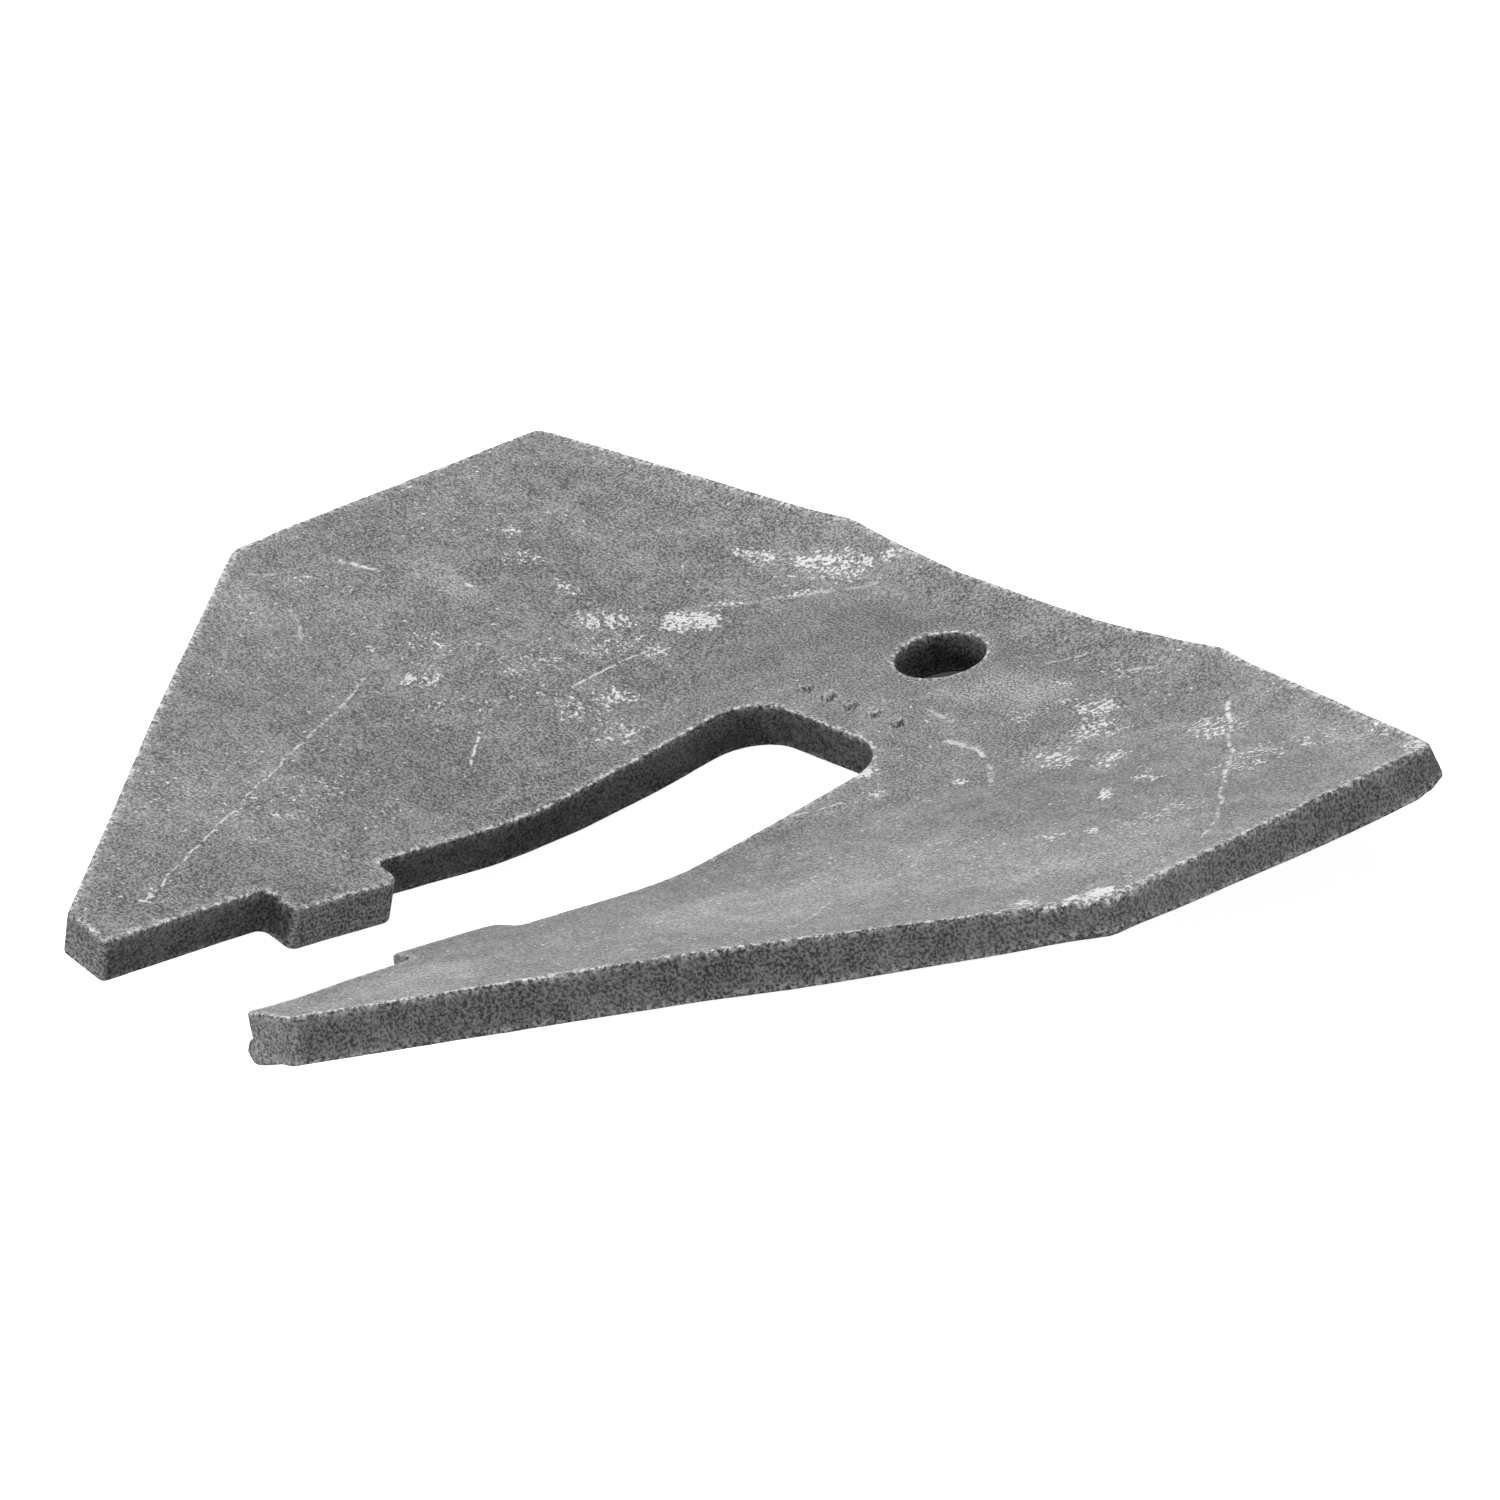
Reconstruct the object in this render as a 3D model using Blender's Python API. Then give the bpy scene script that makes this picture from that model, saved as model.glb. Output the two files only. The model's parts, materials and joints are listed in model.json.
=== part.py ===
"""Slotted wing plate: a dished one-piece cast wear plate, with a bolt hole, an open slot and two tabs.

The plate lies on its flat floor, with its concave side up. X runs across the wings, +Y points to the back
edge and the two prongs point to -Y. The origin is under the middle of the plate.
"""

import math

import bmesh
import bpy
from mathutils import Vector, geometry

# Overall size, in metres
WIDTH = 0.203
LENGTH = 0.1652
THICKNESS = 0.0072
EDGE_RADIUS = 0.0004

# Bolt hole. All other places along Y are measured from its centre, +Y to the back.
HOLE_D = 0.0143
HOLE_Y = LENGTH / 2 - 0.0205
BACK_MIDDLE = 0.0182
SIDE_BACK = 0.0050
SIDE_FRONT = -0.0580
SLOT_END = -0.0250
TAB_BACK = -0.0976
TAB_FRONT = -0.1166
HOLE_TO_BACK = LENGTH / 2 - HOLE_Y
TIP = HOLE_TO_BACK - LENGTH

# Half widths
STEP_HALF = 0.0157
PEAK_HALF = 0.0418
SIDE_HALF = WIDTH / 2
TIP_OUTER_HALF = 0.0262
TIP_INNER_HALF = 0.0174
TAB_HALF = 0.0110
SLOT_HALF = 0.0167
SLOT_CORNER_RADIUS = 0.0085
CORNER_RADIUS = 0.0035
BACK_CORNER_RADIUS = 0.0020
TAB_CORNER_RADIUS = 0.0014
TAB_BACK_RADIUS = 0.0024
TIP_CORNER_RADIUS = 0.0011

# Height of the top surface over the flat floor, along the rim
RIM_AT_TIP = 0.0195
RIM_CREST = -0.1000
RIM_AT_CREST = 0.0200
RIM_AT_FRONT = 0.0187
RIM_AT_BACK = 0.0120

# Bends of the dish
PRONG_BEND = -0.0676
PRONG_SLOPE = 0.235
PRONG_EASE = -0.1215
PRONG_EASE_SLOPE = 0.045
PRONG_SOFTNESS = 0.0105
LIP_BEND = 0.0106
LIP_SLOPE = 0.30
LIP_SOFTNESS = 0.0025
FLOOR_NARROW_Y = -0.0640
FLOOR_WIDE_Y = -0.0030
LEAST_WING = 0.0004
WING_SOFTNESS = 0.0060
WING_EXTRA_SOFTNESS = 0.2

# The plate is thinner round each wing's front corner
THIN_BY = 0.0013
THIN_REACH = 0.050

# Row of plain raised pips between the slot and the bolt hole
PIP_Y = -0.0188
PIP_COUNT = 5
PIP_PITCH = 0.0052
PIP_RADIUS = 0.0014
PIP_HEIGHT = 0.0006
PIP_SUNK = 0.0014

# Spare cast metal on the inner front corner of one prong: a flare, and a lump low on it
FLARE_HALF = 0.0156
FLARE_LENGTH = 0.0075
LUMP_RADIUS = 0.0020
LUMP_X = 0.0155
LUMP_INSET = 0.0012
LUMP_DEPTH = 0.0062

# Mesh
CELL = 0.0055
EDGE_STEP = 0.0050
BORDER_GAP = 0.6 * CELL
ARC_STEP = math.radians(15)
STRAIGHT = math.radians(89.9)


def ramp(u, softness):
    """0 below -softness, u above +softness, and a parabola between."""
    if u <= -softness:
        return 0.0
    if u >= softness:
        return u
    return (u + softness) ** 2 / (4 * softness)


def ease(t):
    t = min(max(t, 0.0), 1.0)
    return t * t * (3 - 2 * t)


def between(y, stations):
    """Value at y on the straight lines through (y, value) stations, in rising y."""
    if y <= stations[0][0]:
        return stations[0][1]
    for (y0, v0), (y1, v1) in zip(stations, stations[1:]):
        if y <= y1:
            return v0 + (v1 - v0) * (y - y0) / (y1 - y0)
    return stations[-1][1]


def plate_half_width(y):
    stations = (
        (TIP, TIP_OUTER_HALF),
        (SIDE_FRONT, SIDE_HALF),
        (SIDE_BACK, SIDE_HALF),
        (HOLE_TO_BACK, PEAK_HALF),
    )
    return between(y, stations)


def rim_height(y):
    stations = (
        (TIP, RIM_AT_TIP),
        (RIM_CREST, RIM_AT_CREST),
        (SIDE_FRONT, RIM_AT_FRONT),
        (SIDE_BACK, RIM_AT_BACK),
        (HOLE_TO_BACK, keel_height(HOLE_TO_BACK)),
    )
    return between(y, stations)


def keel_height(y):
    """Height along the middle: rising prongs, a level floor and a raised back lip."""
    prong = PRONG_SLOPE * ramp(PRONG_BEND - y, PRONG_SOFTNESS)
    eased = PRONG_EASE_SLOPE * ramp(PRONG_EASE - y, PRONG_SOFTNESS)
    lip = LIP_SLOPE * ramp(y - LIP_BEND, LIP_SOFTNESS)
    return prong - eased + lip


def dish_height(x, y):
    """Height of the top surface over the floor, at x across and y from the bolt hole."""
    y = min(y, HOLE_TO_BACK - LEAST_WING)
    keel = keel_height(y)
    widening = ease((y - FLOOR_NARROW_Y) / (FLOOR_WIDE_Y - FLOOR_NARROW_Y))
    floor_half = SLOT_HALF + (PEAK_HALF - SLOT_HALF) * widening
    softness = WING_SOFTNESS + WING_EXTRA_SOFTNESS * (floor_half - SLOT_HALF)
    slope = (rim_height(y) - keel) / (plate_half_width(y) - floor_half)
    on_prong = ease((SIDE_FRONT - y) / PRONG_SOFTNESS)
    across = abs(x) - floor_half
    return keel + slope * (ramp(across, softness) - on_prong * ramp(-across, softness))


def surface_point(x, y, depth):
    """Point at the given depth under the top surface, square to it."""
    d = 1e-5
    z = dish_height(x, y)
    along_x = (dish_height(x + d, y) - dish_height(x - d, y)) / (2 * d)
    along_y = (dish_height(x, y + d) - dish_height(x, y - d)) / (2 * d)
    normal = Vector((-along_x, -along_y, 1)).normalized()
    from_corner = math.hypot(abs(x) - SIDE_HALF, y - SIDE_FRONT)
    thinned = 1 - THIN_BY / THICKNESS * ease(1 - from_corner / THIN_REACH)
    return Vector((x, y + HOLE_Y, z + THICKNESS)) - normal * depth * thinned


def rounded(corners):
    """Open chain of (x, y) points through (x, y, radius) corners, each turned with a tangent arc."""
    chain = [Vector(corners[0][:2])]
    for before, corner, after in zip(corners, corners[1:], corners[2:]):
        here = Vector(corner[:2])
        to_before = (Vector(before[:2]) - here).normalized()
        to_after = (Vector(after[:2]) - here).normalized()
        half_angle = to_before.angle(to_after) / 2
        if half_angle > STRAIGHT:
            continue
        reach = corner[2] / math.tan(half_angle)
        centre = here + (to_before + to_after).normalized() * corner[2] / math.sin(half_angle)
        start = here + to_before * reach - centre
        turn = start.angle_signed(here + to_after * reach - centre)
        steps = max(2, round(abs(turn) / ARC_STEP))
        for i in range(steps + 1):
            chain.append(centre + turned(start, -turn * i / steps))
    chain.append(Vector(corners[-1][:2]))
    return chain


def turned(v, angle):
    c, s = math.cos(angle), math.sin(angle)
    return Vector((c * v.x - s * v.y, s * v.x + c * v.y))


def divided(chain, step):
    """The closed chain with its long edges cut into equal steps."""
    points = []
    for a, b in zip(chain, chain[1:] + chain[:1]):
        cuts = max(1, math.ceil((b - a).length / step))
        points += [a.lerp(b, i / cuts) for i in range(cuts)]
    return points


def half_outline(flared):
    """Right half of the plan outline, from the slot's end round to the middle of the back edge."""
    tip_inner_half = FLARE_HALF if flared else TIP_INNER_HALF
    return rounded([
        (0, SLOT_END, 0),
        (SLOT_HALF, SLOT_END, SLOT_CORNER_RADIUS),
        (SLOT_HALF, TAB_BACK, TAB_CORNER_RADIUS),
        (TAB_HALF, TAB_BACK, TAB_BACK_RADIUS),
        (TAB_HALF, TAB_FRONT, TAB_CORNER_RADIUS),
        (TIP_INNER_HALF, TAB_FRONT, TAB_CORNER_RADIUS),
        (TIP_INNER_HALF, TIP + FLARE_LENGTH, TAB_CORNER_RADIUS),
        (tip_inner_half, TIP, TIP_CORNER_RADIUS),
        (TIP_OUTER_HALF, TIP, TIP_CORNER_RADIUS),
        (SIDE_HALF, SIDE_FRONT, CORNER_RADIUS),
        (SIDE_HALF, SIDE_BACK, BACK_CORNER_RADIUS),
        (PEAK_HALF, HOLE_TO_BACK, CORNER_RADIUS),
        (STEP_HALF, BACK_MIDDLE, CORNER_RADIUS),
        (0, BACK_MIDDLE, 0),
    ])


def plate_outline():
    """Plan outline, counter-clockwise, with the slot left open between the prongs."""
    left = [Vector((-p.x, p.y)) for p in reversed(half_outline(False)[1:-1])]
    return divided(half_outline(True) + left, EDGE_STEP)


def hole_ring(count=32):
    """Bolt hole's edge, clockwise."""
    r = HOLE_D / 2
    turns = [-2 * math.pi * i / count for i in range(count)]
    return [Vector((r * math.cos(t), r * math.sin(t))) for t in turns]


def outward(loop):
    """Mitred outward direction at each point of a loop that keeps the metal on its left."""
    directions = []
    for i, here in enumerate(loop):
        a = (here - loop[i - 1]).normalized()
        b = (loop[(i + 1) % len(loop)] - here).normalized()
        square = Vector((a.y + b.y, -a.x - b.x)).normalized()
        directions.append(square / max(square.dot(Vector((a.y, -a.x))), 0.5))
    return directions


def plan_cells(outline, hole):
    """Plan triangles that fill the outline round the hole. The loops' points come first."""
    loops = outline + hole
    edges = []
    for first, count in ((0, len(outline)), (len(outline), len(hole))):
        edges += [(first + i, first + (i + 1) % count) for i in range(count)]
    inner = []
    rows = math.ceil(LENGTH / CELL)
    columns = math.ceil(SIDE_HALF / CELL)
    for row in range(rows):
        y = TIP + (row + 0.5) * CELL
        for column in range(-columns, columns):
            p = Vector(((column + 0.5) * CELL, y))
            if min((p - q).length for q in loops) > BORDER_GAP:
                inner.append(p)
    found = geometry.delaunay_2d_cdt(loops + inner, edges, [list(range(len(outline)))], 1, 1e-9)
    points = [p.copy() for p in found[0]]
    hole_r = HOLE_D / 2
    cells = []
    for cell in found[2]:
        middle = sum((points[i] for i in cell), Vector((0, 0))) / 3
        if middle.length > hole_r + EDGE_RADIUS / 4:
            cells.append(cell)
    return points, cells, found[3]


def build_plate():
    """The plate as one closed mesh: top sheet, rounded edges and walls, bottom sheet."""
    outline = plate_outline()
    hole = hole_ring()
    loops = [outline, hole]
    directions = [outward(loop) for loop in loops]
    inset = [[p - d * EDGE_RADIUS for p, d in zip(*pair)] for pair in zip(loops, directions)]
    points, cells, origins = plan_cells(*inset)
    mesh = bmesh.new()
    sheets = []
    for depth in (0.0, THICKNESS):
        sheets.append([mesh.verts.new(surface_point(p.x, p.y, depth)) for p in points])
    for cell in cells:
        mesh.faces.new([sheets[0][i] for i in cell])
        mesh.faces.new([sheets[1][i] for i in reversed(cell)])
    corner = 1 - math.sqrt(0.5)
    bands = (
        (corner, corner * EDGE_RADIUS),
        (0.0, EDGE_RADIUS),
        (0.0, THICKNESS - EDGE_RADIUS),
        (corner, THICKNESS - corner * EDGE_RADIUS),
    )
    place_of = {}
    for new, olds in enumerate(origins):
        for old in olds:
            place_of[old] = new
    first = 0
    for loop, loop_directions in zip(loops, directions):
        indices = [place_of[first + i] for i in range(len(loop))]
        first += len(loop)
        rings = [[sheets[0][i] for i in indices]]
        for share, depth in bands:
            ring = []
            for p, d in zip(loop, loop_directions):
                q = p - d * share * EDGE_RADIUS
                ring.append(mesh.verts.new(surface_point(q.x, q.y, depth)))
            rings.append(ring)
        rings.append([sheets[1][i] for i in indices])
        for upper, lower in zip(rings, rings[1:]):
            for i in range(len(upper)):
                j = (i + 1) % len(upper)
                mesh.faces.new((upper[j], upper[i], lower[i], lower[j]))
    loose = [v for v in mesh.verts if not v.link_faces]
    bmesh.ops.delete(mesh, geom=loose, context="VERTS")
    return add_object(mesh, "wing_plate")


def add_object(mesh, name):
    data = bpy.data.meshes.new(name)
    mesh.to_mesh(data)
    mesh.free()
    made = bpy.data.objects.new(name, data)
    bpy.context.collection.objects.link(made)
    return made


def build_pips():
    """Low domes sunk into the floor, in a row across the plate."""
    mesh = bmesh.new()
    tall = PIP_SUNK + PIP_HEIGHT
    for i in range(PIP_COUNT):
        x = (i - (PIP_COUNT - 1) / 2) * PIP_PITCH
        top = surface_point(x, PIP_Y, 0).z + PIP_HEIGHT
        dome = bmesh.ops.create_uvsphere(mesh, u_segments=12, v_segments=8, radius=PIP_RADIUS)["verts"]
        bmesh.ops.scale(mesh, verts=dome, vec=(1, 1, tall / (2 * PIP_RADIUS)))
        middle = Vector((x, PIP_Y + HOLE_Y, top - tall / 2))
        bmesh.ops.translate(mesh, verts=dome, vec=middle)
    return add_object(mesh, "pip_row")


def build_lump():
    """Run of spare metal low on one prong's front corner."""
    mesh = bmesh.new()
    blob = bmesh.ops.create_icosphere(mesh, subdivisions=2, radius=LUMP_RADIUS)["verts"]
    place = surface_point(LUMP_X, TIP + LUMP_INSET, LUMP_DEPTH)
    bmesh.ops.translate(mesh, verts=blob, vec=place)
    return add_object(mesh, "tip_lump")


def join(body, *others):
    """Boolean union of the helpers into the body. The helpers stay hidden."""
    for other in others:
        other.hide_render = True
        other.display_type = "WIRE"
        union = body.modifiers.new("add_" + other.name, "BOOLEAN")
        union.operation = "UNION"
        union.solver = "EXACT"
        union.object = other


def cast_iron():
    material = bpy.data.materials.new("cast_iron")
    material.use_nodes = True
    shader = material.node_tree.nodes["Principled BSDF"]
    shader.inputs["Base Color"].default_value = (0.2, 0.2, 0.2, 1)
    shader.inputs["Roughness"].default_value = 0.62
    shader.inputs["Metallic"].default_value = 0.6
    return material


def main():
    for old in list(bpy.data.objects):
        bpy.data.objects.remove(old)
    plate = build_plate()
    join(plate, build_pips(), build_lump())
    plate.data.materials.append(cast_iron())
    plate.data.shade_smooth()
    plate.data.set_sharp_from_angle(angle=math.radians(35))


main()
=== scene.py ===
import json
import math

import bpy
import numpy as np
from mathutils import Matrix, Vector, geometry, kdtree


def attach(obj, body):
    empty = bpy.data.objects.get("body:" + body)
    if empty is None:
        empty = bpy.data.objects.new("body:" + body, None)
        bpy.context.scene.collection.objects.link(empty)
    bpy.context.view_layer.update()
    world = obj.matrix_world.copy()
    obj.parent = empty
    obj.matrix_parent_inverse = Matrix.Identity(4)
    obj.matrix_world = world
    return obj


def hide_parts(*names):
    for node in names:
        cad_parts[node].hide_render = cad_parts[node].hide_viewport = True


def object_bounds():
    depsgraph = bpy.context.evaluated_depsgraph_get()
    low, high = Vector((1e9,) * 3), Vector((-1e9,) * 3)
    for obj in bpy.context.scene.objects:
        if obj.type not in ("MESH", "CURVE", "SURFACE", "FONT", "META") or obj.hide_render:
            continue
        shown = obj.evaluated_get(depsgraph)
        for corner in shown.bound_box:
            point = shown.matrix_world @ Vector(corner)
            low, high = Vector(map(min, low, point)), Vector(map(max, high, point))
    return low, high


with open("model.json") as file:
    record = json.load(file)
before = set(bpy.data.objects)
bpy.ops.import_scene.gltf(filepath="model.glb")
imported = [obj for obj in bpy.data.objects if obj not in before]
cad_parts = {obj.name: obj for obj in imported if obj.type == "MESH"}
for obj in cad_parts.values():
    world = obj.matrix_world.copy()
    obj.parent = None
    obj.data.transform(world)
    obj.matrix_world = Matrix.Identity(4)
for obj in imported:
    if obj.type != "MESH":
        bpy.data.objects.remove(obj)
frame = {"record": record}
cadLow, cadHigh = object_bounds()
print("frame loaded")


# helpers for node trees: sockets are named once and linked by name

def newTree(name, kind, inputs, outputs):
    tree = bpy.data.node_groups.new(name, kind)
    for inOut, sockets in (("INPUT", inputs), ("OUTPUT", outputs)):
        for label, socketType in sockets.items():
            tree.interface.new_socket(label, in_out=inOut, socket_type="NodeSocket" + socketType)
    return tree, tree.nodes.new("NodeGroupInput").outputs, tree.nodes.new("NodeGroupOutput").inputs


def addNode(tree, kind, inputs=None, **settings):
    node = tree.nodes.new(kind)
    for key, value in settings.items():
        setattr(node, key, value)
    for key, value in (inputs or {}).items():
        setSocket(tree, node.inputs[key], value)
    return node


def setSocket(tree, socket, value):
    if isinstance(value, bpy.types.NodeSocket):
        tree.links.new(value, socket)
    else:
        socket.default_value = value


def calc(tree, operation, *values, clamp=False):
    node = addNode(tree, "ShaderNodeMath", dict(enumerate(values)), operation=operation, use_clamp=clamp)
    return node.outputs[0]


def vectorCalc(tree, operation, *values):
    node = addNode(tree, "ShaderNodeVectorMath", dict(enumerate(values)), operation=operation)
    return node.outputs["Value" if operation in ("DOT_PRODUCT", "LENGTH", "DISTANCE") else "Vector"]


def scaled(tree, vector, factor):
    return addNode(tree, "ShaderNodeVectorMath", {0: vector, "Scale": factor}, operation="SCALE").outputs[0]


def combined(tree, x, y, z):
    return addNode(tree, "ShaderNodeCombineXYZ", {0: x, 1: y, 2: z}).outputs[0]


def noiseAt(tree, vector, scale, detail, rough=0.5):
    inputs = {"Vector": vector, "Scale": scale, "Detail": detail, "Roughness": rough}
    return addNode(tree, "ShaderNodeTexNoise", inputs).outputs


def grey(tree, value):
    return addNode(tree, "ShaderNodeCombineColor", {0: value, 1: value, 2: value}).outputs[0]


def remap(tree, value, low, high, toLow=0.0, toHigh=1.0, shape="SMOOTHSTEP"):
    inputs = {0: value, 1: low, 2: high, 3: toLow, 4: toHigh}
    return addNode(tree, "ShaderNodeMapRange", inputs, interpolation_type=shape).outputs[0]


def groupNode(tree, group, **values):
    kind = "GeometryNodeGroup" if tree.bl_idname == "GeometryNodeTree" else "ShaderNodeGroup"
    node = addNode(tree, kind, node_tree=group)
    for label, value in values.items():
        setSocket(tree, node.inputs[label], value)
    return node.outputs


# the plate: a flat blank with rounded edges, bent to the dish by Geometry Nodes

blank = {
    "length": 0.1652,
    "width": 0.203,
    "thickness": 0.0072,
    "holeAcross": 0.0143,
    # stations along the plate, from the hole's middle; the back is +Y
    "holeToBack": 0.0205,
    "backMiddle": 0.0182,
    "sideBack": 0.0050,
    "sideFront": -0.0580,
    "slotEnd": -0.0250,
    "tabBack": -0.0976,
    "tabFront": -0.1166,
    # half widths across the plate, and the flare's length
    "stepHalf": 0.0157,
    "peakHalf": 0.0418,
    "tipOuterHalf": 0.0262,
    "tipInnerHalf": 0.0174,
    "flareHalf": 0.0156,
    "flareLength": 0.0075,
    "tabHalf": 0.0110,
    "slotHalf": 0.0167,
    # corner radii in plan
    "slotCorner": 0.0085,
    "cornerRadius": 0.0035,
    "backCorner": 0.0020,
    "tabCorner": 0.0014,
    "tabBackCorner": 0.0024,
    "tipCorner": 0.0011,
    "arcStep": 10,                # degrees between the points of a corner
    "arris": 0.00040,             # usual rounding of the edges
    "arrisSpread": 0.25,          # share by which the rounding wanders
    "arrisWaves": (5, 60, 4),     # fewest, most and step of the waves that it wanders in
    "wornSpread": 1.4,            # worn places are full out to 0.4 of their reach and end at 1.4
    "thinBy": 0.0013,             # the wings are thinner round their front corners
    "thinReach": 0.050,
    # the mesh
    "edgeStep": 0.00062,
    "topCell": 0.00086,
    "underCell": 0.00125,
    "borderGap": 0.6,             # share of a cell kept clear beside the edges
    "arrisTurns": 4,
    "wallRows": 8,
    # wear, and painted light on some walls, stored on the mesh for the material
    "wearReach": 0.0005,          # how far from the arris its wear fades
    "endFade": 0.0006,
    "insideShare": 0.35,
    "tabShare": 2.2,
    "holeShare": 0.22,
}
for mount in frame["record"]["mounts"]:
    if mount["name"] == "bolt_seat_top":
        # this mount sits beside the hole, on the level floor of the dish
        holeY = mount["pos_m"][1]
        seatZ = mount["pos_m"][2]
tipY = blank["holeToBack"] - blank["length"]
sideHalf = blank["width"] / 2

# row of raised pips across the plate, between the slot and the hole
pips = {
    "count": 5,
    "pitch": 0.0052,
    "radius": 0.0014,
    "height": 0.0009,
    "flatShare": 0.68,     # share of the radius that is flat on top
    "y": -0.0188,
    "wear": 1.4,
    "wearAt": 0.75,        # share of the radius where the wear is strongest
    "wearFade": 0.0003,
    "turns": 20,
    "ringShares": (0.35, 0.6, 0.7, 0.8, 0.9, 1.0, 1.12),
    "gap": 0.7,            # share of a cell kept clear round a pip
}

# places where the edge is worn rounder than elsewhere
wornPlaces = [
    # x, y from the hole, reach, top radius, under radius
    (0.0985, -0.0590, 0.0100, 0.0012, 0.0016),
    (0.1015, 0.0050, 0.0036, 0.0007, 0.0016),
    (-0.1010, -0.0560, 0.0060, 0.0010, 0.0010),
]


def ease(t):
    t = np.clip(t, 0.0, 1.0)
    return t * t * (3 - 2 * t)


def turned(v, angle):
    c, s = math.cos(angle), math.sin(angle)
    return Vector((c * v.x - s * v.y, s * v.x + c * v.y))


def roundedChain(corners):
    # a line through the corners, each (x, y, radius) rounded to its radius
    chain = [Vector(corners[0][:2])]
    for before, corner, after in zip(corners, corners[1:], corners[2:]):
        here = Vector(corner[:2])
        toBefore = (Vector(before[:2]) - here).normalized()
        toAfter = (Vector(after[:2]) - here).normalized()
        halfAngle = toBefore.angle(toAfter) / 2
        if halfAngle > math.radians(89.9):
            continue     # no corner here
        reach = corner[2] / math.tan(halfAngle)
        centre = here + (toBefore + toAfter).normalized() * corner[2] / math.sin(halfAngle)
        start = here + toBefore * reach - centre
        turn = start.angle_signed(here + toAfter * reach - centre)
        steps = max(2, round(abs(turn) / math.radians(blank["arcStep"])))
        chain += [centre + turned(start, -turn * i / steps) for i in range(steps + 1)]
    chain.append(Vector(corners[-1][:2]))
    return chain


def halfOutline(flared):
    b = blank
    tipInner = b["flareHalf"] if flared else b["tipInnerHalf"]
    return roundedChain([
        (0, b["slotEnd"], 0),
        (b["slotHalf"], b["slotEnd"], b["slotCorner"]),
        (b["slotHalf"], b["tabBack"], b["tabCorner"]),
        (b["tabHalf"], b["tabBack"], b["tabBackCorner"]),
        (b["tabHalf"], b["tabFront"], b["tabCorner"]),
        (b["tipInnerHalf"], b["tabFront"], b["tabCorner"]),
        (b["tipInnerHalf"], tipY + b["flareLength"], b["tabCorner"]),
        (tipInner, tipY, b["tipCorner"]),
        (b["tipOuterHalf"], tipY, b["tipCorner"]),
        (sideHalf, b["sideFront"], b["cornerRadius"]),
        (sideHalf, b["sideBack"], b["backCorner"]),
        (b["peakHalf"], b["holeToBack"], b["cornerRadius"]),
        (b["stepHalf"], b["backMiddle"], b["cornerRadius"]),
        (0, b["backMiddle"], 0),
    ])


def divided(chain, step):
    points = []
    for a, b in zip(chain, chain[1:] + chain[:1]):
        cuts = max(1, math.ceil((b - a).length / step))
        points += [a.lerp(b, i / cuts) for i in range(cuts)]
    return points


def plateLoops():
    left = [Vector((-p.x, p.y)) for p in reversed(halfOutline(False)[1:-1])]
    outline = divided(halfOutline(True) + left, blank["edgeStep"])
    count = round(math.pi * blank["holeAcross"] / blank["edgeStep"])
    spin = [-2 * math.pi * i / count for i in range(count)]
    hole = [Vector((math.cos(t), math.sin(t))) * blank["holeAcross"] / 2 for t in spin]
    return [np.array(outline), np.array(hole)]


def outwardOf(loop):
    # how each point of a loop moves when the loop is offset outwards by 1
    before = loop - np.roll(loop, 1, axis=0)
    after = np.roll(loop, -1, axis=0) - loop
    before /= np.linalg.norm(before, axis=1)[:, None]
    after /= np.linalg.norm(after, axis=1)[:, None]
    mitre = np.stack([before[:, 1] + after[:, 1], -before[:, 0] - after[:, 0]], axis=1)
    mitre /= np.linalg.norm(mitre, axis=1)[:, None]
    lean = mitre[:, 0] * before[:, 1] - mitre[:, 1] * before[:, 0]
    return mitre / np.maximum(lean, 0.5)[:, None]


def arrisRadii(loop, seed):
    # a wandering radius for the top and the under edge at each point of a loop
    rng = np.random.default_rng(seed)
    along = np.arange(len(loop)) / len(loop) * 2 * math.pi
    radii = []
    for column in (3, 4):
        wander = np.zeros(len(loop))
        for waves in range(*blank["arrisWaves"]):
            wander += np.sin(waves * along + rng.uniform(0, 2 * math.pi)) / 4
        radius = blank["arris"] * (1 + blank["arrisSpread"] * np.clip(wander, -1, 1))
        for place in wornPlaces:
            near = np.hypot(loop[:, 0] - place[0], loop[:, 1] - place[1])
            share = ease(blank["wornSpread"] - near / place[2])
            radius = radius + (place[column] - radius) * share
        radii.append(radius)
    return radii


def pipMiddles():
    return [((i - (pips["count"] - 1) / 2) * pips["pitch"], pips["y"]) for i in range(pips["count"])]


def nearPip(x, y, cell):
    reach = pips["radius"] + cell * pips["gap"]
    return any(math.hypot(x - px, y - py) < reach for px, py in pipMiddles())


def pipRings():
    # rings of points round each pip, close enough together to show its steep side
    points = []
    for x, y in pipMiddles():
        points.append(Vector((x, y)))
        for share in pips["ringShares"]:
            for i in range(pips["turns"]):
                angle = 2 * math.pi * (i + share) / pips["turns"]
                points.append(Vector((x, y)) + turned(Vector((pips["radius"] * share, 0)), angle))
    return points


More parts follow.
